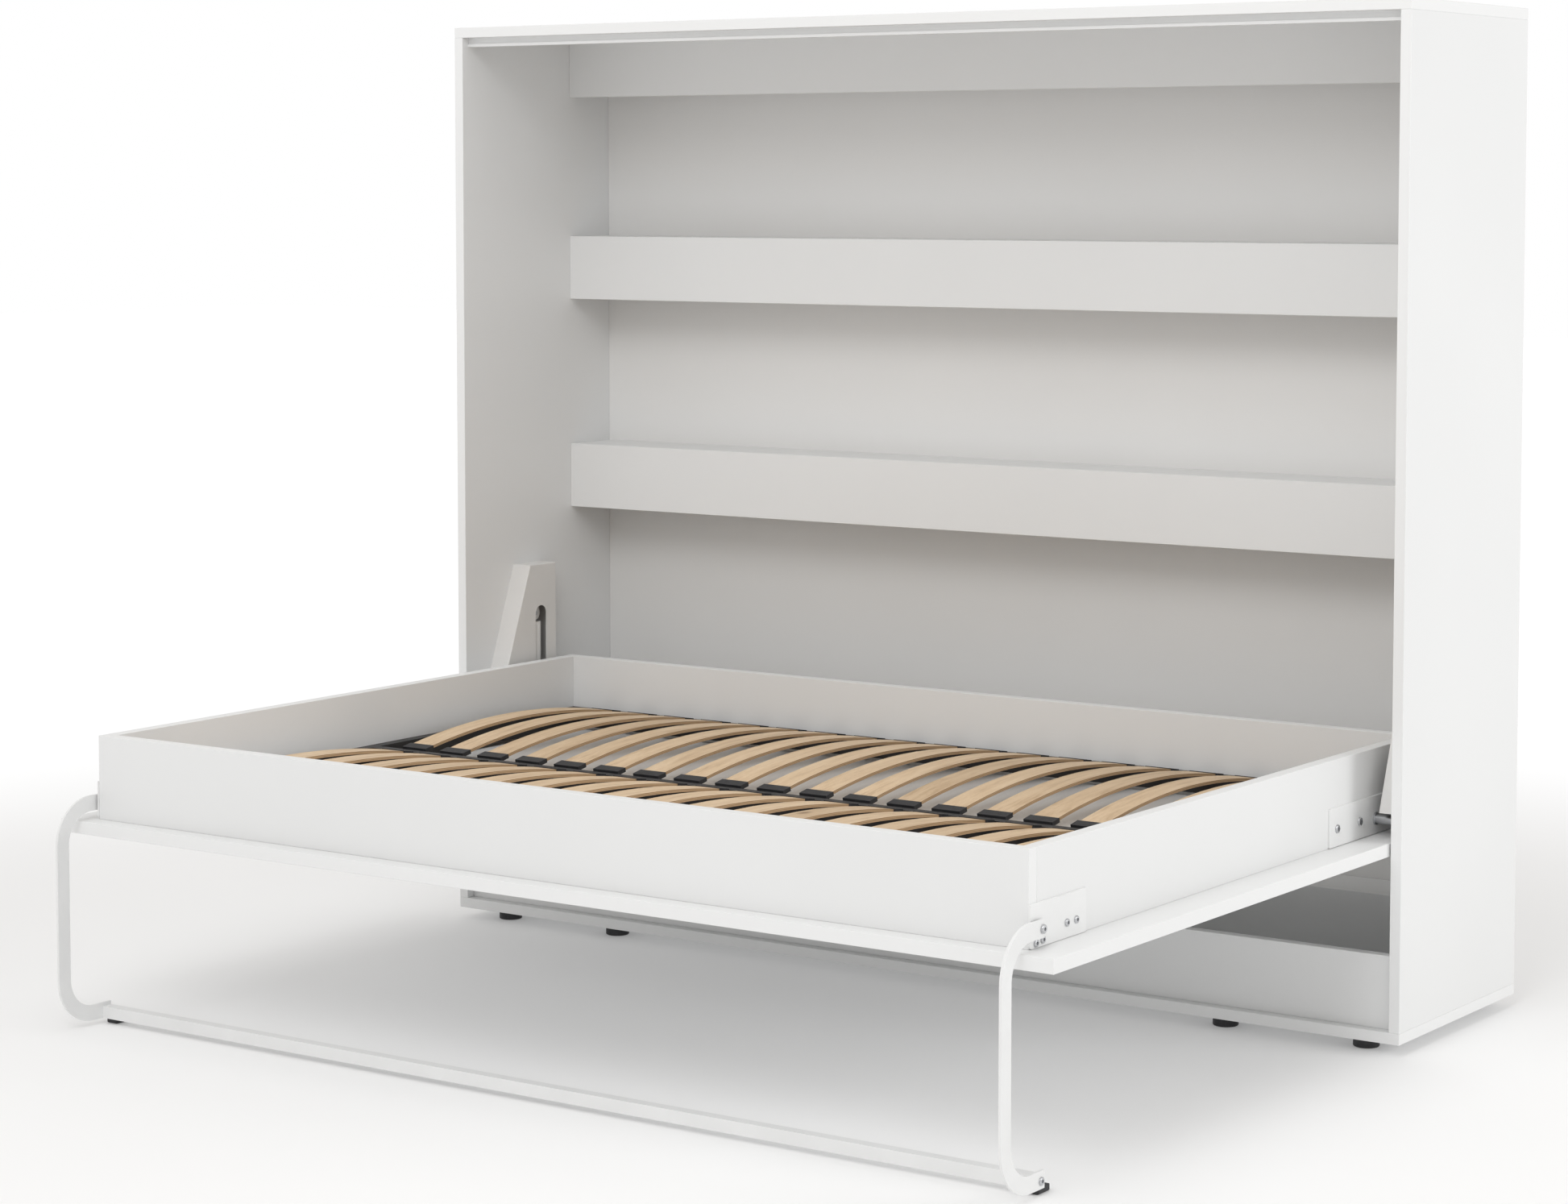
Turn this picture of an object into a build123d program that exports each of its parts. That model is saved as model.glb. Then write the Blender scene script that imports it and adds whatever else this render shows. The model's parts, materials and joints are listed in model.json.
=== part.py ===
from build123d import *
import os
from math import asin, atan2, cos, degrees, hypot, sin, tan

# Horizontal murphy wall bed for a 200 x 140 cm mattress, drawn with the bed folded down.
# Millimetres. Z = 0 is the floor, Y = 0 the cabinet's front plane with the room on -Y,
# X = 0 the middle of the cabinet. Every pair of side parts is mirrored about the YZ plane.

# ---- cabinet ----
CABINET_WIDTH = 2260
CABINET_DEPTH = 524
CABINET_TOP = 1954
BOARD = 22                   # carcass board thickness
LEDGE_BOARD = 18             # thinner boards of the ledges
BACK_THICKNESS = 8
EDGE = 0.8                   # chamfer of every board edge
FOOT_HEIGHT = 24
FOOT_DIAMETER, FOOT_NECK = 50, 4
FOOT_X = (738, 1035)
FOOT_Y = (60, 464)
PLINTH_FRONT, PLINTH_TOP = 21, 185
HEAD_RAIL_FRONT, HEAD_RAIL_BOTTOM = 22, 1913
HEAD_RAIL_LIP, HEAD_RAIL_LIP_DEPTH = 6, 4
LEDGE_FRONT = 373            # front face of the boards standing at the back
LEDGES = {"upper_ledge": (1357, 1499), "middle_ledge": (886, 1029), "low_ledge": (79, 222)}
TOP_LEDGE_BOTTOM = 1811

# ---- hinge and its side plates ----
HINGE_Y, HINGE_Z = 74, 430
AXLE_RADIUS = 8.5
RUNNING_GAP = 0.05           # radial clearance of every turning or sliding fit
PLATE_X = 1037.5             # outer face of the bed's side boards
PLATE = 4                    # steel plate thickness
WALL_PLATE_X = 1104
BUSH_RADIUS, BUSH_LENGTH = 14, 10

# ---- cover over the gas strut ----
COVER_X, COVER_SHEET = 1060.8, 2.5
COVER_BOTTOM, COVER_TOP = 446, 771
COVER_FRONT_LOW, COVER_FRONT_HIGH, COVER_REAR = 47, 166, 257
SLOT_Y, SLOT_WIDTH, SLOT_TOP = 204, 39, 679

# ---- gas strut ----
STRUT_X = 1084
STRUT_TOP_Y, STRUT_TOP_Z = 204, 660
CRANK_Y, CRANK_Z = 204, 416  # lower stud of the strut, on the bed's hinge plate
CYLINDER_RADIUS, CYLINDER_WALL = 17, 2
CYLINDER_TOP, CYLINDER_BOTTOM = 642, 450
ROD_RADIUS = 5
STRUT_EYE_RADIUS = 16
STUD_RADIUS = 5

# ---- bed frame ----
DOOR_X, DOOR_FRONT, DOOR_REAR = 1105, -1214, 310
DOOR_BOTTOM, DOOR_TOP = 375, 400
BED_BOARD = 25
BED_FRONT, BED_REAR, BED_TOP = -1179, 284, 562
HINGE_PLATE_Y, HINGE_PLATE_Z = (-116, 264), (401, 473.6)
HINGE_SCREW_Y, HINGE_SCREW_Z = (-87, 7, 141, 235), 434
SCREW_HEAD_RADIUS, SCREW_HEAD_HEIGHT, SCREW_RADIUS, SCREW_DEPTH = 8, 3.4, 3, 16
HEX_SOCKET_RADIUS, HEX_SOCKET_DEPTH = 3.2, 2.5

# ---- slatted base ----
RAIL_BOTTOM, RAIL_TOP, TUBE_WALL = 408, 449, 1.5
END_RAIL_WIDTH, LONG_RAIL_WIDTH = 25, 12
BEAM_Y, BEAM_WIDTH = -437, 25
SLAT_PITCH, SLAT_COUNT = 100, 19
SLAT_WIDTH, SLAT_THICKNESS, SLAT_RISE, SLAT_END_Z = 53, 6, 29, 446.5
CAP_LENGTH, CAP_WIDTH, CAP_HEIGHT = 26, 62, 8.6
CAP_WALL, CAP_POCKET = 1.2, 20   # pocket for the slat's end, measured from the cap's open end
CAP_PLAY, SLAT_END_PLAY = 0.2, 2 # around a slat in its pocket, and beyond its end
CAP_FOOT_WIDTH, CAP_FOOT_LENGTH, CAP_FOOT_Z = 30, 12, (434, 445.5)
RAIL_TO_CAP, BEAM_TO_CAP = 2, 6.5

# ---- folding leg frame ----
LEG_Y, LEG_Z = -1156, 432
ARM_X, ARM_THICKNESS, ARM_WIDTH = 1045.5, 5, 30   # arms stand clear of the screw heads
ARM_BEND, ARM_BEND_Y, ARM_BOTTOM_Z, ARM_END_Y = 73.5, -1193, 25.5, -1147
BRACKET_Y, BRACKET_Z = (-1180, -1003), (400.5, 473)
BRACKET_SCREWS = ((-1142, 411.5), (-1066, 426), (-1036, 426))   # into the side board
CORNER_SCREW = (-1163, 409)  # into the front board's end
CROSS_BAR_Y, CROSS_BAR_Z = (-1169, -1147), (10.5, 33.5)
CROSS_BAR_SHEET = 3
CROSS_SCREW_Y, CROSS_SCREW_Z = -1158, 23.6
PAD_Y, PAD_X = (-1160, -1120), (1018, 1046)

INNER_X = CABINET_WIDTH / 2 - BOARD
BACK_FRONT = CABINET_DEPTH - BACK_THICKNESS
BASE_TOP = FOOT_HEIGHT + BOARD
TOP_BOTTOM = CABINET_TOP - BOARD

os.makedirs("parts", exist_ok=True)


def save(name, part):
    part.part.label = name
    export_step(part.part, f"parts/{name}.step")


def board(x, y, z, edge=EDGE):
    """A flat board between the given (low, high) pairs, its edges lightly broken."""
    with BuildPart() as made:
        with BuildSketch(Plane.XY.offset(z[0])):
            with Locations(((x[0] + x[1]) / 2, (y[0] + y[1]) / 2)):
                Rectangle(x[1] - x[0], y[1] - y[0])
        extrude(amount=z[1] - z[0])
        if edge:
            chamfer(made.edges(), length=edge)
    return made


def right_pair(make, left_name, right_name):
    """Saves the right-hand part and its mirror image under their two names."""
    right = make()
    save(right_name, right)
    with BuildPart() as left:
        add(mirror(right.part, about=Plane.YZ))
    save(left_name, left)


def rods_along_x(x0, x1, points, radius):
    """Round bars from x0 to x1 at the given (y, z) points, added to the part in hand."""
    with BuildSketch(Plane.YZ.offset(x0)) as ends:
        with Locations(*points):
            Circle(radius)
    extrude(ends.sketch, amount=x1 - x0)


def bores_along_x(x0, x1, points, radius):
    """Round holes from x0 to x1 at the given (y, z) points, cut from the part in hand."""
    with BuildSketch(Plane.YZ.offset(x0)) as ends:
        with Locations(*points):
            Circle(radius)
    extrude(ends.sketch, amount=x1 - x0, mode=Mode.SUBTRACT)


def button_screws(points, face_x, tip_x, head_radius=SCREW_HEAD_RADIUS):
    """Domed hex-socket screws on both sides, heads on the plane x = face_x, tips at tip_x."""
    with BuildPart() as made:
        rods_along_x(face_x, face_x + SCREW_HEAD_HEIGHT, points, head_radius)
        rims = made.faces().filter_by(Axis.X).group_by(Axis.X)[-1].edges()
        fillet(rims, radius=SCREW_HEAD_HEIGHT * 0.6)
        rods_along_x(tip_x, face_x, points, SCREW_RADIUS)
        with BuildSketch(Plane.YZ.offset(face_x + SCREW_HEAD_HEIGHT)):
            with Locations(*points):
                RegularPolygon(HEX_SOCKET_RADIUS, 6)
        extrude(amount=-HEX_SOCKET_DEPTH, mode=Mode.SUBTRACT)
        mirror(about=Plane.YZ)
    return made


# ======== cabinet ========
half = CABINET_WIDTH / 2
save("base_panel", board((-half, half), (0, CABINET_DEPTH), (FOOT_HEIGHT, BASE_TOP)))
save("top_panel", board((-half, half), (0, CABINET_DEPTH), (TOP_BOTTOM, CABINET_TOP)))
save("left_side_panel", board((-half, -INNER_X), (0, CABINET_DEPTH), (BASE_TOP, TOP_BOTTOM)))
save("right_side_panel", board((INNER_X, half), (0, CABINET_DEPTH), (BASE_TOP, TOP_BOTTOM)))
save("back_panel", board((-INNER_X, INNER_X), (BACK_FRONT, CABINET_DEPTH), (BASE_TOP, TOP_BOTTOM)))
save("plinth_board", board((-INNER_X, INNER_X), (PLINTH_FRONT, PLINTH_FRONT + BOARD),
                           (BASE_TOP, PLINTH_TOP)))
save("top_ledge_board", board((-INNER_X, INNER_X), (LEDGE_FRONT, LEDGE_FRONT + LEDGE_BOARD),
                              (TOP_LEDGE_BOTTOM, TOP_BOTTOM)))
for ledge, (low, high) in LEDGES.items():
    save(f"{ledge}_front", board((-INNER_X, INNER_X), (LEDGE_FRONT, LEDGE_FRONT + LEDGE_BOARD),
                                 (low, high)))
    save(f"{ledge}_top", board((-INNER_X, INNER_X), (LEDGE_FRONT + LEDGE_BOARD, BACK_FRONT),
                               (high - LEDGE_BOARD, high)))

# Strip under the top: its lowest part stands forward as a lip that the closed door meets.
with BuildPart() as head_rail:
    with BuildSketch(Plane.YZ.offset(-INNER_X)):
        with BuildLine():
            Polyline((HEAD_RAIL_FRONT, TOP_BOTTOM), (HEAD_RAIL_FRONT, HEAD_RAIL_BOTTOM + HEAD_RAIL_LIP),
                     (HEAD_RAIL_FRONT - HEAD_RAIL_LIP_DEPTH, HEAD_RAIL_BOTTOM + HEAD_RAIL_LIP),
                     (HEAD_RAIL_FRONT - HEAD_RAIL_LIP_DEPTH, HEAD_RAIL_BOTTOM),
                     (HEAD_RAIL_FRONT + LEDGE_BOARD, HEAD_RAIL_BOTTOM),
                     (HEAD_RAIL_FRONT + LEDGE_BOARD, TOP_BOTTOM), close=True)
        make_face()
    extrude(amount=2 * INNER_X)
save("head_rail", head_rail)

# Eight round feet, each with a slightly narrower neck against the base panel.
with BuildPart() as feet:
    with BuildSketch():
        with Locations(*[(s * x, y) for s in (-1, 1) for x in FOOT_X for y in FOOT_Y]):
            Circle(FOOT_DIAMETER / 2)
    extrude(amount=FOOT_HEIGHT - FOOT_NECK)
    chamfer(feet.faces().sort_by(Axis.Z)[:8].edges(), length=1.5)
    with BuildSketch(Plane.XY.offset(FOOT_HEIGHT - FOOT_NECK)):
        with Locations(*[(s * x, y) for s in (-1, 1) for x in FOOT_X for y in FOOT_Y]):
            Circle(FOOT_DIAMETER / 2 - FOOT_NECK)
    extrude(amount=FOOT_NECK)
save("cabinet_feet", feet)

# ======== strut cover ========
COVER_SLOPE = (COVER_FRONT_HIGH - COVER_FRONT_LOW) / (COVER_TOP - COVER_BOTTOM)


def cover_profile(inset, bottom, plane):
    """Outline of the cover in the YZ plane, moved inwards by the given wall thickness."""
    slant = inset * hypot(1, COVER_SLOPE)
    top = COVER_TOP - inset
    with BuildSketch(plane) as outline:
        with BuildLine():
            Polyline((COVER_FRONT_LOW + slant + COVER_SLOPE * (bottom - COVER_BOTTOM), bottom),
                     (COVER_REAR - inset, bottom), (COVER_REAR - inset, top),
                     (COVER_FRONT_LOW + slant + COVER_SLOPE * (top - COVER_BOTTOM), top), close=True)
        make_face()
    return outline.sketch


def strut_cover():
    """White sheet-steel box, open below, slotted where the strut passes the side board."""
    with BuildPart() as cover:
        extrude(cover_profile(0, COVER_BOTTOM, Plane.YZ.offset(COVER_X)), amount=INNER_X - COVER_X)
        outer = cover.faces().sort_by(Axis.X)[0].edges().filter_by(GeomType.LINE)
        fillet(outer.sort_by(Axis.Z)[1:], radius=2)
        extrude(cover_profile(COVER_SHEET, COVER_BOTTOM, Plane.YZ.offset(COVER_X + COVER_SHEET)),
                amount=INNER_X - COVER_X, mode=Mode.SUBTRACT)
        with BuildSketch(Plane.YZ.offset(COVER_X)):
            with Locations((SLOT_Y, SLOT_TOP - SLOT_WIDTH / 2)):
                Circle(SLOT_WIDTH / 2)
            with Locations((SLOT_Y, (SLOT_TOP - SLOT_WIDTH / 2 + COVER_BOTTOM) / 2)):
                Rectangle(SLOT_WIDTH, SLOT_TOP - SLOT_WIDTH / 2 - COVER_BOTTOM)
        extrude(amount=COVER_SHEET, mode=Mode.SUBTRACT)
    return cover


right_pair(strut_cover, "left_cover", "right_cover")

# ======== wall plate, bush and upper stud ========
WALL_PLATE_CORNER = 26       # the door's inner face passes the hinge line at 30
WALL_PLATE_REAR, WALL_PLATE_TOP, WALL_PLATE_NECK = 248, 740, 160
WALL_SCREWS = ((100, 500), (228, 500), (228, 700), (172, 700))


def wall_plate():
    """Steel plate on the side panel; its lowest front corner is an arc about the hinge."""
    front, low = HINGE_Y - WALL_PLATE_CORNER, HINGE_Z - WALL_PLATE_CORNER
    with BuildPart() as plate:
        with BuildSketch(Plane.YZ.offset(WALL_PLATE_X)):
            with BuildLine():
                Polyline((HINGE_Y, low), (WALL_PLATE_REAR, low), (WALL_PLATE_REAR, WALL_PLATE_TOP),
                         (WALL_PLATE_NECK, WALL_PLATE_TOP), (front + 6, HINGE_Z + 20), (front, HINGE_Z))
                CenterArc((HINGE_Y, HINGE_Z), WALL_PLATE_CORNER, 180, 90)
            make_face()
        extrude(amount=INNER_X - WALL_PLATE_X)
        bores_along_x(WALL_PLATE_X, INNER_X, [(HINGE_Y, HINGE_Z)], AXLE_RADIUS + 1)
        bores_along_x(WALL_PLATE_X, INNER_X, [(STRUT_TOP_Y, STRUT_TOP_Z)], STUD_RADIUS)
        bores_along_x(WALL_PLATE_X, INNER_X, WALL_SCREWS, SCREW_RADIUS)
    return plate


right_pair(wall_plate, "left_wall_plate", "right_wall_plate")

with BuildPart() as bushes:
    rods_along_x(WALL_PLATE_X - BUSH_LENGTH, WALL_PLATE_X, [(HINGE_Y, HINGE_Z)], BUSH_RADIUS)
    bores_along_x(WALL_PLATE_X - BUSH_LENGTH, WALL_PLATE_X, [(HINGE_Y, HINGE_Z)],
                  AXLE_RADIUS + RUNNING_GAP)
    mirror(about=Plane.YZ)
save("hinge_bushes", bushes)

with BuildPart() as upper_studs:
    rods_along_x(STRUT_X - 9, INNER_X, [(STRUT_TOP_Y, STRUT_TOP_Z)], STUD_RADIUS)
    rods_along_x(WALL_PLATE_X - 8, WALL_PLATE_X, [(STRUT_TOP_Y, STRUT_TOP_Z)], STUD_RADIUS + 4)
    mirror(about=Plane.YZ)
save("strut_upper_studs", upper_studs)

with BuildPart() as wall_screws:
    rods_along_x(WALL_PLATE_X - 3, WALL_PLATE_X, WALL_SCREWS, SCREW_HEAD_RADIUS - 1)
    rods_along_x(WALL_PLATE_X, INNER_X, WALL_SCREWS, SCREW_RADIUS)
    with BuildSketch(Plane.YZ.offset(WALL_PLATE_X - 3)):
        with Locations(*WALL_SCREWS):
            RegularPolygon(HEX_SOCKET_RADIUS, 6)
    extrude(amount=1.5, mode=Mode.SUBTRACT)
    mirror(about=Plane.YZ)
save("wall_plate_screws", wall_screws)

# ======== gas strut: cylinder hung from the wall plate, rod pushing the bed's crank ========
PISTON_TOP = 620


def strut_cylinder():
    """Hollow cylinder with an end cap that guides the rod and an eye on the upper stud."""
    with BuildPart() as cylinder:
        with BuildSketch(Plane.XY.offset(CYLINDER_BOTTOM)):
            with Locations((STRUT_X, STRUT_TOP_Y)):
                Circle(CYLINDER_RADIUS)
        extrude(amount=CYLINDER_TOP - CYLINDER_BOTTOM)
        rods_along_x(STRUT_X - 6, STRUT_X + 6, [(STRUT_TOP_Y, STRUT_TOP_Z)], STRUT_EYE_RADIUS)
        with BuildSketch(Plane.XY.offset(CYLINDER_TOP)):
            with Locations((STRUT_X, STRUT_TOP_Y)):
                Circle(5.5)
        extrude(amount=STRUT_TOP_Z - CYLINDER_TOP)
        bores_along_x(STRUT_X - 6, STRUT_X + 6, [(STRUT_TOP_Y, STRUT_TOP_Z)], STUD_RADIUS + RUNNING_GAP)
        with BuildSketch(Plane.XY.offset(CYLINDER_BOTTOM + 10)):
            with Locations((STRUT_X, STRUT_TOP_Y)):
                Circle(CYLINDER_RADIUS - CYLINDER_WALL)
        extrude(amount=PISTON_TOP - CYLINDER_BOTTOM, mode=Mode.SUBTRACT)
        with BuildSketch(Plane.XY.offset(CYLINDER_BOTTOM)):
            with Locations((STRUT_X, STRUT_TOP_Y)):
                Circle(ROD_RADIUS + RUNNING_GAP)
        extrude(amount=10, mode=Mode.SUBTRACT)
    return cylinder


def strut_rod():
    """Polished rod with its piston above and a ball-socket fitting below."""
    neck_top, piston_low = CRANK_Z + 24, PISTON_TOP - 10
    with BuildPart() as rod:
        rods_along_x(STRUT_X - 7, STRUT_X + 7, [(CRANK_Y, CRANK_Z)], 10)
        for low, high, radius in ((CRANK_Z, neck_top, 6.5), (neck_top, piston_low, ROD_RADIUS),
                                  (piston_low, PISTON_TOP, CYLINDER_RADIUS - CYLINDER_WALL - RUNNING_GAP)):
            with BuildSketch(Plane.XY.offset(low)):
                with Locations((STRUT_X, STRUT_TOP_Y)):
                    Circle(radius)
            extrude(amount=high - low)
    return rod


right_pair(strut_cylinder, "left_strut_cylinder", "right_strut_cylinder")
right_pair(strut_rod, "left_strut_rod", "right_strut_rod")

# ======== bed frame ========
save("front_panel", board((-DOOR_X, DOOR_X), (DOOR_FRONT, DOOR_REAR), (DOOR_BOTTOM, DOOR_TOP)))
front_board = board((-PLATE_X, PLATE_X), (BED_FRONT, BED_FRONT + BED_BOARD), (DOOR_TOP, BED_TOP))
with front_board:
    for end in (-PLATE_X, PLATE_X - SCREW_DEPTH + PLATE):
        bores_along_x(end, end + SCREW_DEPTH - PLATE, [CORNER_SCREW], SCREW_RADIUS + RUNNING_GAP)
save("front_board", front_board)
save("rear_board", board((-PLATE_X, PLATE_X), (BED_REAR - BED_BOARD, BED_REAR), (DOOR_TOP, BED_TOP)))

SIDE_HOLES = [(y, HINGE_SCREW_Z) for y in HINGE_SCREW_Y] + list(BRACKET_SCREWS)


def side_board():
    """Long narrow board of the mattress box, drilled for the plate screws."""
    made = board((PLATE_X - BED_BOARD, PLATE_X), (BED_FRONT + BED_BOARD, BED_REAR - BED_BOARD),
                 (DOOR_TOP, BED_TOP))
    with made:
        bores_along_x(PLATE_X - SCREW_DEPTH, PLATE_X, SIDE_HOLES, SCREW_RADIUS + RUNNING_GAP)
    return made


right_pair(side_board, "left_side_board", "right_side_board")


def hinge_plate():
    """White steel plate that ties the axle and the strut's crank stud to the side board."""
    (y0, y1), (z0, z1) = HINGE_PLATE_Y, HINGE_PLATE_Z
    with BuildPart() as plate:
        with BuildSketch(Plane.YZ.offset(PLATE_X)):
            with Locations(((y0 + y1) / 2, (z0 + z1) / 2)):
                RectangleRounded(y1 - y0, z1 - z0, 2)
        extrude(amount=PLATE)
        chamfer(plate.faces().sort_by(Axis.X)[-1].edges(), length=0.6)
        bores_along_x(PLATE_X, PLATE_X + PLATE, [(y, HINGE_SCREW_Z) for y in HINGE_SCREW_Y],
                      SCREW_RADIUS + RUNNING_GAP)
    return plate


right_pair(hinge_plate, "left_hinge_plate", "right_hinge_plate")

PLATE_FACE = PLATE_X + PLATE
save("hinge_plate_screws", button_screws([(y, HINGE_SCREW_Z) for y in HINGE_SCREW_Y],
                                         PLATE_FACE, PLATE_FACE - SCREW_DEPTH))

# Axle: a round bar with a welded flange, turning in the wall bush.
with BuildPart() as axles:
    rods_along_x(PLATE_FACE, INNER_X - 0.5, [(HINGE_Y, HINGE_Z)], AXLE_RADIUS)
    rods_along_x(PLATE_FACE, PLATE_FACE + 3, [(HINGE_Y, HINGE_Z)], AXLE_RADIUS + 3.5)
    mirror(about=Plane.YZ)
save("hinge_axles", axles)

# Crank stud: it stops just short of the rod's socket, where the linkage is open.
with BuildPart() as crank_studs:
    rods_along_x(PLATE_FACE, STRUT_X - 8, [(CRANK_Y, CRANK_Z)], STUD_RADIUS)
    rods_along_x(PLATE_FACE, PLATE_FACE + 5, [(CRANK_Y, CRANK_Z)], STUD_RADIUS + 4)
    mirror(about=Plane.YZ)
save("strut_crank_studs", crank_studs)

# ======== slatted base ========
BOX_X = PLATE_X - BED_BOARD
BOX_FRONT, BOX_REAR = BED_FRONT + BED_BOARD, BED_REAR - BED_BOARD
RAIL_HEIGHT = RAIL_TOP - RAIL_BOTTOM


def square_tube(plane, width, length):
    """Thin-walled rectangular steel tube, centred on the plane's origin and run along its normal."""
    with BuildPart() as tube:
        with BuildSketch(plane):
            Rectangle(width, RAIL_HEIGHT)
            Rectangle(width - 2 * TUBE_WALL, RAIL_HEIGHT - 2 * TUBE_WALL, mode=Mode.SUBTRACT)
        extrude(amount=length / 2, both=True)
    return tube


def tube_along_x(y, width, length):
    middle = Plane((0, y, RAIL_BOTTOM + RAIL_HEIGHT / 2), x_dir=(0, 1, 0), z_dir=(1, 0, 0))
    return square_tube(middle, width, length)


def end_rail():
    length = BOX_REAR - BOX_FRONT - 2 * LONG_RAIL_WIDTH
    middle = Plane((BOX_X - END_RAIL_WIDTH / 2, (BOX_REAR + BOX_FRONT) / 2, RAIL_BOTTOM + RAIL_HEIGHT / 2),
                   x_dir=(1, 0, 0), z_dir=(0, -1, 0))
    return square_tube(middle, END_RAIL_WIDTH, length)


save("slat_front_rail", tube_along_x(BOX_FRONT + LONG_RAIL_WIDTH / 2, LONG_RAIL_WIDTH, 2 * BOX_X))
save("slat_rear_rail", tube_along_x(BOX_REAR - LONG_RAIL_WIDTH / 2, LONG_RAIL_WIDTH, 2 * BOX_X))
save("slat_centre_beam", tube_along_x(BEAM_Y, BEAM_WIDTH, 2 * (BOX_X - END_RAIL_WIDTH)))
right_pair(end_rail, "left_end_rail", "right_end_rail")

SLAT_X = [SLAT_PITCH * (i - (SLAT_COUNT - 1) / 2) for i in range(SLAT_COUNT)]
SLAT_INSET = CAP_LENGTH - CAP_POCKET + SLAT_END_PLAY


def slat_row(y0, y1):
    """Bowed slats side by side: two arcs a slat's thickness apart, from y0 to y1."""
    middle = (y0 + y1) / 2
    with BuildPart() as row:
        for x in SLAT_X:
            with BuildSketch(Plane.YZ.offset(x - SLAT_WIDTH / 2)):
                with BuildLine():
                    ThreePointArc((y0, SLAT_END_Z), (middle, SLAT_END_Z + SLAT_RISE), (y1, SLAT_END_Z))
                    Line((y1, SLAT_END_Z), (y1, SLAT_END_Z + SLAT_THICKNESS))
                    ThreePointArc((y1, SLAT_END_Z + SLAT_THICKNESS),
                                  (middle, SLAT_END_Z + SLAT_RISE + SLAT_THICKNESS),
                                  (y0, SLAT_END_Z + SLAT_THICKNESS))
                    Line((y0, SLAT_END_Z + SLAT_THICKNESS), (y0, SLAT_END_Z))
                make_face()
            extrude(amount=SLAT_WIDTH)
    return row


def slat_tilt(span):
    """Slope of a bowed slat in the middle of its cap's pocket, in radians."""
    bow_radius = (span ** 2 / 4 + SLAT_RISE ** 2) / (2 * SLAT_RISE)
    return asin((span / 2 - CAP_POCKET / 2) / bow_radius)


def cap_row(front_rail, front_gap, rear_gap, rear_rail):
    """Plastic caps of one row between two rail faces: tilted pockets, each on a foot by its rail."""
    front_end, rear_end = front_rail + front_gap, rear_rail - rear_gap
    tilt = slat_tilt(rear_end - front_end - 2 * SLAT_INSET)
    top = SLAT_END_Z + SLAT_THICKNESS + (CAP_WALL + CAP_PLAY) / cos(tilt) - SLAT_INSET * tan(tilt)
    with BuildPart() as caps:
        for rail, outer, inward in ((front_rail, front_end, 1), (rear_rail, rear_end, -1)):
            lid = Plane((0, outer, top), x_dir=(1, 0, 0), z_dir=(0, -inward * sin(tilt), cos(tilt)))
            with BuildSketch(lid):
                with Locations(*[(x, inward * CAP_LENGTH / 2) for x in SLAT_X]):
                    Rectangle(CAP_WIDTH, CAP_LENGTH)
            extrude(amount=-CAP_HEIGHT)
            foot_end = outer + inward * CAP_FOOT_LENGTH
            with BuildSketch(Plane.XY.offset(CAP_FOOT_Z[0])):
                with Locations(*[(x, (rail + foot_end) / 2) for x in SLAT_X]):
                    Rectangle(CAP_FOOT_WIDTH, abs(foot_end - rail))
            extrude(amount=CAP_FOOT_Z[1] - CAP_FOOT_Z[0])
            with BuildSketch(lid.offset(-CAP_WALL)):
                with Locations(*[(x, inward * (CAP_LENGTH - CAP_POCKET / 2)) for x in SLAT_X]):
                    Rectangle(SLAT_WIDTH + 2 * CAP_PLAY, CAP_POCKET)
            extrude(amount=-(SLAT_THICKNESS + 2 * CAP_PLAY), mode=Mode.SUBTRACT)
    return caps


for row_name, front_rail, front_gap, rear_gap, rear_rail in (
        ("front", BOX_FRONT + LONG_RAIL_WIDTH, RAIL_TO_CAP, BEAM_TO_CAP, BEAM_Y - BEAM_WIDTH / 2),
        ("rear", BEAM_Y + BEAM_WIDTH / 2, BEAM_TO_CAP, RAIL_TO_CAP, BOX_REAR - LONG_RAIL_WIDTH)):
    slats = slat_row(front_rail + front_gap + SLAT_INSET, rear_rail - rear_gap - SLAT_INSET)
    save(f"{row_name}_slats", slats)
    save(f"{row_name}_slat_caps", cap_row(front_rail, front_gap, rear_gap, rear_rail))

# ======== leg frame's fixed parts ========


def leg_bracket():
    """White steel plate on the bed's front corner; its front top corner is slightly rounded."""
    (y0, y1), (z0, z1) = BRACKET_Y, BRACKET_Z
    with BuildPart() as bracket:
        with BuildSketch(Plane.YZ.offset(PLATE_X)) as outline:
            with Locations(((y0 + y1) / 2, (z0 + z1) / 2)):
                Rectangle(y1 - y0, z1 - z0)
            fillet(outline.vertices().group_by(Axis.Y)[0].sort_by(Axis.Z)[-1], radius=6)
        extrude(amount=PLATE)
        chamfer(bracket.faces().sort_by(Axis.X)[-1].edges(), length=0.6)
        bores_along_x(PLATE_X, PLATE_X + PLATE, [CORNER_SCREW, *BRACKET_SCREWS],
                      SCREW_RADIUS + RUNNING_GAP)
        bores_along_x(PLATE_X, PLATE_X + PLATE, [(LEG_Y, LEG_Z)], STUD_RADIUS)
    return bracket


right_pair(leg_bracket, "left_leg_bracket", "right_leg_bracket")
save("leg_bracket_screws", button_screws([CORNER_SCREW, *BRACKET_SCREWS],
                                         PLATE_FACE, PLATE_FACE - SCREW_DEPTH, 6.5))

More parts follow.
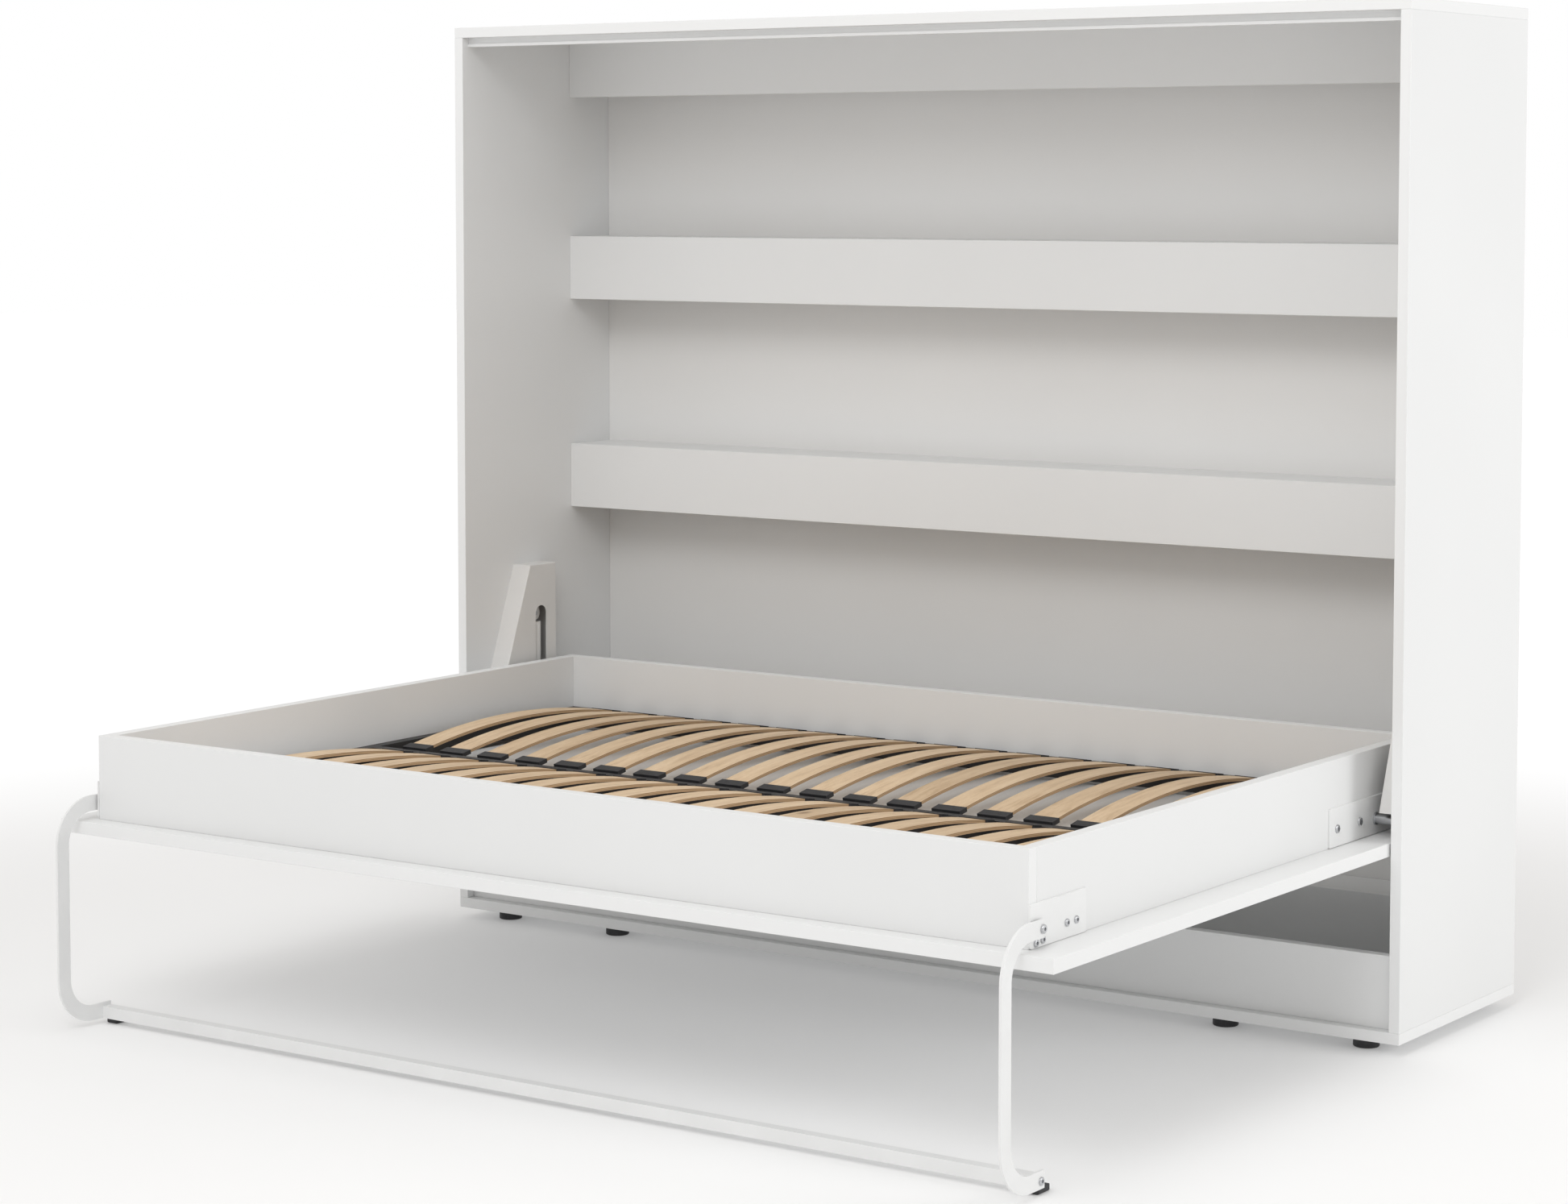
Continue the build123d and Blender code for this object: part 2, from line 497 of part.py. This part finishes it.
ARM_FACE = ARM_X + ARM_THICKNESS
with BuildPart() as leg_pivots:
    rods_along_x(PLATE_X, ARM_FACE + 0.3, [(LEG_Y, LEG_Z)], STUD_RADIUS)
    rods_along_x(ARM_FACE + 0.3, ARM_FACE + 4.3, [(LEG_Y, LEG_Z)], 7.5)
    heads = leg_pivots.faces().filter_by(Axis.X).sort_by(Axis.X)[-1]
    fillet(heads.edges(), radius=2)
    with BuildSketch(Plane.YZ.offset(ARM_FACE + 4.3)):
        with Locations((LEG_Y, LEG_Z)):
            RegularPolygon(HEX_SOCKET_RADIUS, 6)
    extrude(amount=-HEX_SOCKET_DEPTH, mode=Mode.SUBTRACT)
    mirror(about=Plane.YZ)
save("leg_pivot_screws", leg_pivots)

with BuildPart() as washers:
    rods_along_x(PLATE_FACE, ARM_X - 0.1, [(LEG_Y, LEG_Z)], 10)
    bores_along_x(PLATE_FACE, ARM_X - 0.1, [(LEG_Y, LEG_Z)], STUD_RADIUS + RUNNING_GAP)
    mirror(about=Plane.YZ)
save("leg_pivot_washers", washers)

# ======== folding leg frame ========


def leg_arm():
    """Flat steel C: back from the pivot, round and down in front of the door, back to the foot."""
    outer_y = ARM_BEND_Y - ARM_BEND
    upper_z, lower_z = LEG_Z - ARM_BEND, ARM_BOTTOM_Z + ARM_BEND
    with BuildPart() as arm:
        with BuildSketch(Plane.YZ.offset(ARM_X)) as outline:
            with BuildLine():
                Line((LEG_Y, LEG_Z), (ARM_BEND_Y, LEG_Z))
                CenterArc((ARM_BEND_Y, upper_z), ARM_BEND, 90, 90)
                Line((outer_y, upper_z), (outer_y, lower_z))
                CenterArc((ARM_BEND_Y, lower_z), ARM_BEND, 180, 90)
                Line((ARM_BEND_Y, ARM_BOTTOM_Z), (ARM_END_Y, ARM_BOTTOM_Z))
            trace(line_width=ARM_WIDTH)
            with Locations((LEG_Y, LEG_Z)):
                Circle(ARM_WIDTH / 2)
            fillet(outline.vertices().filter_by_position(Axis.Y, ARM_END_Y - 1, ARM_END_Y + 1),
                   radius=7)
        extrude(amount=ARM_THICKNESS)
        bores_along_x(ARM_X, ARM_FACE, [(LEG_Y, LEG_Z)], STUD_RADIUS + RUNNING_GAP)
        bores_along_x(ARM_X, ARM_FACE, [(CROSS_SCREW_Y, CROSS_SCREW_Z)], SCREW_RADIUS + RUNNING_GAP)
    return arm


right_pair(leg_arm, "left_leg_arm", "right_leg_arm")

# Cross bar: a bent steel angle with a tab at each end against the inside of the arm.
bar_y0, bar_y1 = CROSS_BAR_Y
bar_z0, bar_z1 = CROSS_BAR_Z
with BuildPart() as cross_bar:
    with BuildSketch(Plane.YZ.offset(-ARM_X)):
        with BuildLine():
            Polyline((bar_y0, bar_z0), (bar_y0, bar_z1), (bar_y1, bar_z1),
                     (bar_y1, bar_z1 - CROSS_BAR_SHEET),
                     (bar_y0 + CROSS_BAR_SHEET, bar_z1 - CROSS_BAR_SHEET),
                     (bar_y0 + CROSS_BAR_SHEET, bar_z0), close=True)
        make_face()
    extrude(amount=2 * ARM_X)
    for tab_x in (-ARM_X, ARM_X - CROSS_BAR_SHEET):
        with BuildSketch(Plane.YZ.offset(tab_x)):
            with Locations(((bar_y0 + bar_y1) / 2, (bar_z0 + bar_z1) / 2)):
                Rectangle(bar_y1 - bar_y0, bar_z1 - bar_z0)
        extrude(amount=CROSS_BAR_SHEET)
    bores_along_x(-ARM_X, ARM_X, [(CROSS_SCREW_Y, CROSS_SCREW_Z)], SCREW_RADIUS + RUNNING_GAP)
save("leg_cross_bar", cross_bar)

save("cross_bar_screws", button_screws([(CROSS_SCREW_Y, CROSS_SCREW_Z)], ARM_FACE, ARM_FACE - 12, 7))

with BuildPart() as pads:
    with BuildSketch():
        with Locations(((PAD_X[0] + PAD_X[1]) / 2, (PAD_Y[0] + PAD_Y[1]) / 2)):
            RectangleRounded(PAD_X[1] - PAD_X[0], PAD_Y[1] - PAD_Y[0], 5)
    extrude(amount=CROSS_BAR_Z[0])
    chamfer(pads.faces().sort_by(Axis.Z)[0].edges(), length=1.5)
    mirror(about=Plane.YZ)
save("leg_foot_pads", pads)

# How far the strut swings and lengthens while the bed closes through a quarter turn.
closed_y, closed_z = HINGE_Y + (CRANK_Z - HINGE_Z), HINGE_Z - (CRANK_Y - HINGE_Y)
swing = degrees(atan2(STRUT_TOP_Y - closed_y, STRUT_TOP_Z - closed_z))
stroke = hypot(STRUT_TOP_Y - closed_y, STRUT_TOP_Z - closed_z) - (STRUT_TOP_Z - CRANK_Z)
print(f"strut swing {swing:.3f} degrees, stroke {stroke:.2f} mm")
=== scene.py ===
import json
import math

import bpy
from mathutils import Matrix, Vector


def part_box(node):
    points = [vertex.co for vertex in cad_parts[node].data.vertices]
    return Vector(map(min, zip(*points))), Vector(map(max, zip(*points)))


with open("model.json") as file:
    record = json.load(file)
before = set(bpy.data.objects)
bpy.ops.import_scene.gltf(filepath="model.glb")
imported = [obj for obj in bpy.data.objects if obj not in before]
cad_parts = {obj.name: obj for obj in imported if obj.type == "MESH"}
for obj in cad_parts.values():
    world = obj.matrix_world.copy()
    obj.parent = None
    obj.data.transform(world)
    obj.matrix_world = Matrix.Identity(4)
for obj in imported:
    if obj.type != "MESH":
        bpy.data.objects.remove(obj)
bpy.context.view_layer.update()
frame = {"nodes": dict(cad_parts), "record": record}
nodes = frame["nodes"]

# Socket numbers of the Mix node when it mixes colours.
MIX_FACTOR = 0
MIX_A = 6
MIX_B = 7
MIX_RESULT = 2


# ---------------------------------------------------------------- material building blocks
class Nodes:
    """A Principled material and short calls for the texture nodes that feed it."""

    def __init__(self, name, color, roughness, metallic=0.0, specular=0.5):
        self.material = bpy.data.materials.new(name)
        self.material.use_nodes = True
        self.tree = self.material.node_tree
        self.shader = self.tree.nodes["Principled BSDF"]
        self.set("Base Color", (*color, 1))
        self.set("Roughness", roughness)
        self.set("Metallic", metallic)
        self.set("Specular IOR Level", specular)

    def set(self, socket, value):
        self.shader.inputs[socket].default_value = value

    def feed(self, socket, output):
        self.tree.links.new(output, self.shader.inputs[socket])

    def node(self, kind, inputs=None, **settings):
        made = self.tree.nodes.new(kind)
        for key, value in settings.items():
            setattr(made, key, value)
        for key, value in (inputs or {}).items():
            if isinstance(value, bpy.types.NodeSocket):
                self.tree.links.new(value, made.inputs[key])
            else:
                made.inputs[key].default_value = value
        return made

    def place(self, scale=(1, 1, 1), shift=(0, 0, 0)):
        """Object coordinates, in metres, stretched by scale."""
        where = self.node("ShaderNodeTexCoord").outputs["Object"]
        mapping = {"Vector": where, "Scale": scale, "Location": shift}
        return self.node("ShaderNodeMapping", mapping).outputs[0]

    def vector(self, x, y, z):
        return self.node("ShaderNodeCombineXYZ", {"X": x, "Y": y, "Z": z}).outputs[0]

    def normal(self):
        """The three parts of the surface's normal."""
        where = self.node("ShaderNodeTexCoord").outputs["Normal"]
        return self.node("ShaderNodeSeparateXYZ", {"Vector": where}).outputs

    def noise(self, vector, scale, detail=3.0, roughness=0.5, distortion=0.0):
        return self.node("ShaderNodeTexNoise", {
            "Vector": vector,
            "Scale": scale,
            "Detail": detail,
            "Roughness": roughness,
            "Distortion": distortion,
        }).outputs["Fac"]

    def ramp(self, factor, *stops):
        made = self.node("ShaderNodeValToRGB", {"Fac": factor})
        elements = made.color_ramp.elements
        while len(elements) < len(stops):
            elements.new(0.5)
        for element, (at, color) in zip(elements, stops):
            element.position = at
            element.color = (*color, 1)
        return made.outputs["Color"]

    def math(self, operation, a, b=0.0):
        return self.node("ShaderNodeMath", {0: a, 1: b}, operation=operation).outputs[0]

    def moved(self, value, seed, reach):
        """value, moved by up to reach as seed goes from 0 to 1."""
        return self.math("ADD", value, self.math("MULTIPLY", seed, reach))

    def mix(self, factor, a, b, blend="MIX"):
        made = self.node("ShaderNodeMix", data_type="RGBA", blend_type=blend)
        for index, value in ((MIX_FACTOR, factor), (MIX_A, a), (MIX_B, b)):
            if isinstance(value, bpy.types.NodeSocket):
                self.tree.links.new(value, made.inputs[index])
            elif index == MIX_FACTOR:
                made.inputs[index].default_value = value
            else:
                made.inputs[index].default_value = (*value, 1)
        return made.outputs[MIX_RESULT]

    def between(self, factor, low, high):
        limits = {"Value": factor, "To Min": low, "To Max": high}
        return self.node("ShaderNodeMapRange", limits).outputs[0]

    def bump(self, height, strength, distance):
        settings = {"Height": height, "Strength": strength, "Distance": distance}
        self.feed("Normal", self.node("ShaderNodeBump", settings).outputs["Normal"])


def shade(color, factor):
    return tuple(c * factor for c in color)


# ---------------------------------------------------------------- boards, steel and plastic
GRAIN_DEPTH = 0.0004       # bump distance of coats and mouldings, in metres
SCRATCH_DEPTH = 0.0002     # bump distance of scratches in metal, in metres


def board_material(name, color, edge_color, axis, roughness=0.42):
    """Melamine-faced board: faint clouds of tone on the two faces that look along `axis`,
    and an edge band of one plain tone on the narrow faces between them."""
    m = Nodes(name, color, roughness)
    grain = m.noise(m.place(), scale=620, detail=2.0)
    cloud = m.noise(m.place(), scale=1.7, detail=2.0)
    face = m.ramp(cloud, (0.3, shade(color, 0.975)), (0.7, color))
    across = m.math("ABSOLUTE", m.normal()["XYZ".index(axis)])
    edge = m.math("LESS_THAN", across, 0.5)
    m.feed("Base Color", m.mix(edge, face, edge_color))
    m.feed("Roughness", m.between(grain, roughness - 0.06, roughness + 0.06))
    m.bump(grain, 0.10, GRAIN_DEPTH)
    return m.material


def coated_steel(name, color, roughness, peel=0.25):
    """Powder coat: a fine orange-peel bump and a faint change of tone."""
    m = Nodes(name, color, roughness)
    peel_noise = m.noise(m.place(), scale=900, detail=2.0, roughness=0.6)
    tone = m.noise(m.place(), scale=9)
    m.feed("Base Color", m.ramp(tone, (0.3, shade(color, 0.95)), (0.7, color)))
    m.feed("Roughness", m.between(tone, roughness - 0.05, roughness + 0.05))
    m.bump(peel_noise, peel, GRAIN_DEPTH)
    return m.material


def metal(name, color, roughness, brush=(1, 1, 1), strength=0.15):
    """Bare or plated metal. Its fine scratches are drawn out along an axis whose brush is small."""
    m = Nodes(name, color, roughness, metallic=1.0)
    lines = m.noise(m.place(brush), scale=700, roughness=0.7)
    m.feed("Base Color", m.ramp(lines, (0.25, shade(color, 0.82)), (0.75, color)))
    m.feed("Roughness", m.between(lines, roughness - 0.07, roughness + 0.1))
    m.bump(lines, strength, SCRATCH_DEPTH)
    return m.material


def moulded_plastic(name, color, roughness):
    """Black moulding with a spark-eroded grain and faint patches of dust."""
    m = Nodes(name, color, roughness)
    grain = m.node("ShaderNodeTexVoronoi", {"Vector": m.place(), "Scale": 900.0}).outputs["Distance"]
    dust = m.noise(m.place(), scale=45, detail=4.0)
    dusty = tuple(c * 1.7 + 0.004 for c in color)
    m.feed("Base Color", m.ramp(dust, (0.35, color), (0.8, dusty)))
    m.feed("Roughness", m.between(dust, roughness - 0.05, roughness + 0.12))
    m.bump(grain, 0.3, GRAIN_DEPTH)
    return m.material


# ---------------------------------------------------------------- birch slats
# The slats as the CAD makes them, in metres: one slat of each row has its middle at x = 0.
SLAT_PITCH = 0.1
SLAT_THICKNESS = 0.006

PLY_THICKNESS = 0.0013     # metres
GRAIN_STRETCH = 0.06       # scale along the slat: the smaller, the longer the grain
KNOT_STRETCH = 0.45
SIDE_NORMAL = 0.6          # a face that looks along x by more than this shows the ply layers, in darker tones that are partly painted shade

BIRCH = (0.72, 0.52, 0.32)
KNOT_BROWN = (0.22, 0.125, 0.06)
GRAIN_TONES = ((0.30, (0.50, 0.335, 0.19)),
               (0.47, (0.70, 0.515, 0.325)),
               (0.70, (0.82, 0.645, 0.445)))
FIBRE_TONES = ((0.3, (0.55, 0.375, 0.215)),
               (0.7, (0.84, 0.665, 0.475)))
SLAT_TONES = ((0.0, (0.80, 0.78, 0.75)),
              (1.0, (1.0, 1.0, 1.0)))
# ply layers of the long sides: the stripes are real, their darker tone than the top is partly
# painted shade
PLY_TONES_WITH_PAINTED_SHADE = ((0.25, (0.36, 0.22, 0.115)),
             (0.6, (0.60, 0.41, 0.24)))


def slat_material(name, row_box):
    """Laminated birch: grain along the slat, knots, and ply layers on the two long sides, in darker
    tones there that are partly painted shade.
    The grain, the tone and the knots differ from slat to slat."""
    low, high = row_box
    middle = (low.y + high.y) / 2
    half = (high.y - low.y) / 2
    m = Nodes(name, BIRCH, 0.48, specular=0.4)
    x, y, z = m.node("ShaderNodeSeparateXYZ", {"Vector": m.place()}).outputs

    # one random value for each slat
    index = m.math("ROUND", m.math("MULTIPLY", x, 1 / SLAT_PITCH))
    seed = m.node("ShaderNodeTexWhiteNoise", {"W": m.math("ADD", index, 0.37)},
                  noise_dimensions="1D").outputs["Value"]

    along = m.math("MULTIPLY", y, GRAIN_STRETCH)
    fibre_place = m.vector(m.moved(x, seed, 3.0), m.moved(along, seed, 5.0), z)
    grain = m.noise(fibre_place, scale=75, detail=6.0, roughness=0.62, distortion=0.35)
    fibre = m.noise(fibre_place, scale=520, roughness=0.7)
    wood = m.ramp(grain, *GRAIN_TONES)
    wood = m.mix(0.35, wood, m.ramp(fibre, *FIBRE_TONES))
    wood = m.mix(0.8, wood, m.ramp(seed, *SLAT_TONES), "MULTIPLY")

    knot_place = m.vector(m.moved(x, seed, 7.0), m.math("MULTIPLY", y, KNOT_STRETCH), 0.0)
    cells = {"Vector": knot_place, "Scale": 6.5, "Randomness": 1.0}
    from_centre = m.node("ShaderNodeTexVoronoi", cells).outputs["Distance"]
    knot = m.ramp(from_centre, (0.02, (1, 1, 1)), (0.075, (0, 0, 0)))
    wood = m.mix(m.math("MULTIPLY", knot, 0.8), wood, KNOT_BROWN)

    # height above the bowed underside, so that the plies follow the bow
    reach = m.math("DIVIDE", m.math("SUBTRACT", y, middle), half)
    rise = high.z - low.z - SLAT_THICKNESS
    bow = m.math("MULTIPLY", m.math("SUBTRACT", 1.0, m.math("MULTIPLY", reach, reach)), rise)
    height = m.math("SUBTRACT", m.math("SUBTRACT", z, low.z), bow)
    ply = m.math("PINGPONG", m.math("DIVIDE", height, PLY_THICKNESS), 1.0)
    plies_with_painted_shade = m.ramp(ply, *PLY_TONES_WITH_PAINTED_SHADE)

    # the long sides take the ply tones, darker than the top in part as painted shade
    side = m.math("GREATER_THAN", m.math("ABSOLUTE", m.normal()[0]), SIDE_NORMAL)
    m.feed("Base Color", m.mix(side, wood, plies_with_painted_shade))
    m.feed("Roughness", m.between(fibre, 0.4, 0.58))
    m.bump(fibre, 0.12, GRAIN_DEPTH)
    return m.material


# ---------------------------------------------------------------- finishes of the CAD nodes
WHITE = (0.80, 0.805, 0.805)
BAND = (0.82, 0.825, 0.825)
boards = {axis: board_material(f"melamine_{axis}", WHITE, BAND, axis) for axis in "XYZ"}
back_board = board_material("back_lacquer", (0.80, 0.795, 0.785), BAND, "Y", roughness=0.55)
white_steel = coated_steel("white_powder_coat", (0.83, 0.835, 0.835), 0.36)
# the covers' grey, darker and warmer than the white powder coat, is painted shade of the cabinet's
# inside
cover_steel_painted_shade = coated_steel("cover_coat_painted_shade", (0.76, 0.75, 0.735), 0.45)
black_steel = coated_steel("black_powder_coat", (0.012, 0.012, 0.013), 0.42)
zinc = metal("zinc_plate", (0.62, 0.63, 0.65), 0.3)
grey_steel = coated_steel("grey_paint", (0.80, 0.80, 0.79), 0.33, peel=0.12)
chrome = metal("rod_chrome", (0.82, 0.82, 0.82), 0.1, brush=(1, 1, 0.05), strength=0.04)
brass = metal("bush_brass", (0.72, 0.54, 0.26), 0.3, brush=(0.1, 1, 1))
black_plastic = moulded_plastic("black_moulding", (0.016, 0.016, 0.018), 0.5)

# the axis across the thickness of each melamine board
THIN_AXIS = {
    "base_panel": "Z",
    "top_panel": "Z",
    "left_side_panel": "X",
    "right_side_panel": "X",
    "plinth_board": "Y",
    "head_rail": "Y",
    "top_ledge_board": "Y",
    "front_panel": "Z",
    "left_side_board": "X",
    "right_side_board": "X",
    "front_board": "Y",
    "rear_board": "Y",
}
for ledge in ("upper_ledge", "middle_ledge", "low_ledge"):
    THIN_AXIS[f"{ledge}_front"] = "Y"
    THIN_AXIS[f"{ledge}_top"] = "Z"

by_slot = {
    "white_back": back_board,
    "white_steel": white_steel,
    "black_steel": black_steel,
    "zinc_steel": zinc,
    "rod_chrome": chrome,
    "bush_brass": brass,
    "black_plastic": black_plastic,
}
slots = {part["node"]: part["material_slot"] for part in frame["record"]["subparts"]}


def finish_for(name):
    if name in ("front_slats", "rear_slats"):
        return slat_material(f"birch_{name}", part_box(name))
    if name.endswith("strut_cylinder"):
        return grey_steel
    if name in ("left_cover", "right_cover"):
        return cover_steel_painted_shade
    if name in THIN_AXIS:
        return boards[THIN_AXIS[name]]
    return by_slot[slots[name]]


for name, node in nodes.items():
    finish = finish_for(name)
    for slot in node.material_slots:
        slot.material = finish


# ---------------------------------------------------------------- floor
FLOOR_HALF = 30            # metres from the middle to each edge
FLOOR_Z = -0.0006          # just under the feet
FLOOR_CENTRE_Y = -0.4      # middle of the round patch that isn't faded
FADE_START = 1.9           # metres from that middle
FADE_END = 4.2


def stage_floor():
    """A pale floor that fades into the white surroundings a few metres from the bed."""
    m = Nodes("studio_floor", (0.84, 0.84, 0.84), 0.7, specular=0.2)
    flat = m.place(scale=(1, 1, 0), shift=(0, -FLOOR_CENTRE_Y, 0))
    away = m.node("ShaderNodeVectorMath", {0: flat}, operation="LENGTH").outputs["Value"]
    distances = {"Value": away, "From Min": FADE_START, "From Max": FADE_END}
    fade = m.node("ShaderNodeMapRange", distances, interpolation_type="SMOOTHSTEP").outputs[0]
    tone = m.noise(m.place(), scale=0.6, detail=2.0)
    pale = m.ramp(tone, (0.3, (0.75, 0.75, 0.75)), (0.7, (0.77, 0.77, 0.77)))
    m.feed("Base Color", m.mix(fade, pale, (0, 0, 0)))
    m.feed("Emission Strength", m.between(fade, 0.17, 1.0))
    m.set("Emission Color", (1, 1, 1, 1))
    corners = [(-FLOOR_HALF, -FLOOR_HALF, FLOOR_Z),
               (FLOOR_HALF, -FLOOR_HALF, FLOOR_Z),
               (FLOOR_HALF, FLOOR_HALF, FLOOR_Z),
               (-FLOOR_HALF, FLOOR_HALF, FLOOR_Z)]
    mesh = bpy.data.meshes.new("studio_floor")
    mesh.from_pydata(corners, [], [(0, 1, 2, 3)])
    floor = bpy.data.objects.new("studio_floor", mesh)
    bpy.context.scene.collection.objects.link(floor)
    mesh.materials.append(m.material)


# ---------------------------------------------------------------- light
AMBIENT = 0.66             # light from the white surroundings, which look pure white themselves
WARM_GREEN = 0.98          # that light's green and blue as a share of its red
WARM_BLUE = 0.955


def area_light(name, place, target, size, power, color=(1, 1, 1)):
    """A round lamp at place that shines towards target."""
    light = bpy.data.lights.new(name, "AREA")
    light.shape = "DISK"
    light.size = size
    light.energy = power
    light.color = color
    lamp = bpy.data.objects.new(name, light)
    bpy.context.scene.collection.objects.link(lamp)
    lamp.location = place
    lamp.rotation_euler = (Vector(target) - Vector(place)).to_track_quat("-Z", "Y").to_euler()


def white_surroundings():
    """Pure white to the camera, and a dimmer, slightly warm light on everything else."""
    world = bpy.data.worlds.new("studio")
    bpy.context.scene.world = world
    world.use_nodes = True
    tree = world.node_tree
    tint = tree.nodes.new("ShaderNodeMix")
    tint.data_type = "RGBA"
    tint.inputs[MIX_A].default_value = (AMBIENT, AMBIENT * WARM_GREEN, AMBIENT * WARM_BLUE, 1)
    tint.inputs[MIX_B].default_value = (1, 1, 1, 1)
    seen = tree.nodes.new("ShaderNodeLightPath").outputs["Is Camera Ray"]
    tree.links.new(seen, tint.inputs[MIX_FACTOR])
    tree.links.new(tint.outputs[MIX_RESULT], tree.nodes["Background"].inputs["Color"])


# ---------------------------------------------------------------- camera
CAMERA_PLACE = (3.9438, -6.0287, 1.6111)
CAMERA_TURN = 34.874       # degrees from the +Y direction towards -X
CAMERA_DIP = 4.119         # degrees below the horizontal
CAMERA_SHIFT_Y = -0.10
FOCAL_LENGTH = 82.5        # millimetres, as the sensor's width is
SENSOR_WIDTH = 36


def studio_camera():
    lens = bpy.data.cameras.new("camera")
    lens.lens = FOCAL_LENGTH
    lens.sensor_width = SENSOR_WIDTH
    lens.sensor_fit = "HORIZONTAL"
    lens.shift_y = CAMERA_SHIFT_Y
    lens.clip_end = 200
    camera = bpy.data.objects.new("camera", lens)
    bpy.context.scene.collection.objects.link(camera)
    camera.location = CAMERA_PLACE
    camera.rotation_euler = (math.radians(90 - CAMERA_DIP), 0, math.radians(CAMERA_TURN))
    bpy.context.scene.camera = camera


stage_floor()
area_light("front_key", place=(1.6, -6.0, 5.6), target=(0, -0.2, 0.7), size=3.5, power=140,
           color=(0.99, 0.995, 1.0))
area_light("right_wash", place=(7.0, 1.4, 2.6), target=(1.1, -0.2, 0.8), size=3.0, power=115,
           color=(0.985, 0.995, 1.0))
area_light("top", place=(0.0, -1.5, 6.5), target=(0, -0.2, 0.4), size=5.0, power=80)
white_surroundings()
studio_camera()
bpy.context.scene.view_settings.view_transform = "Standard"
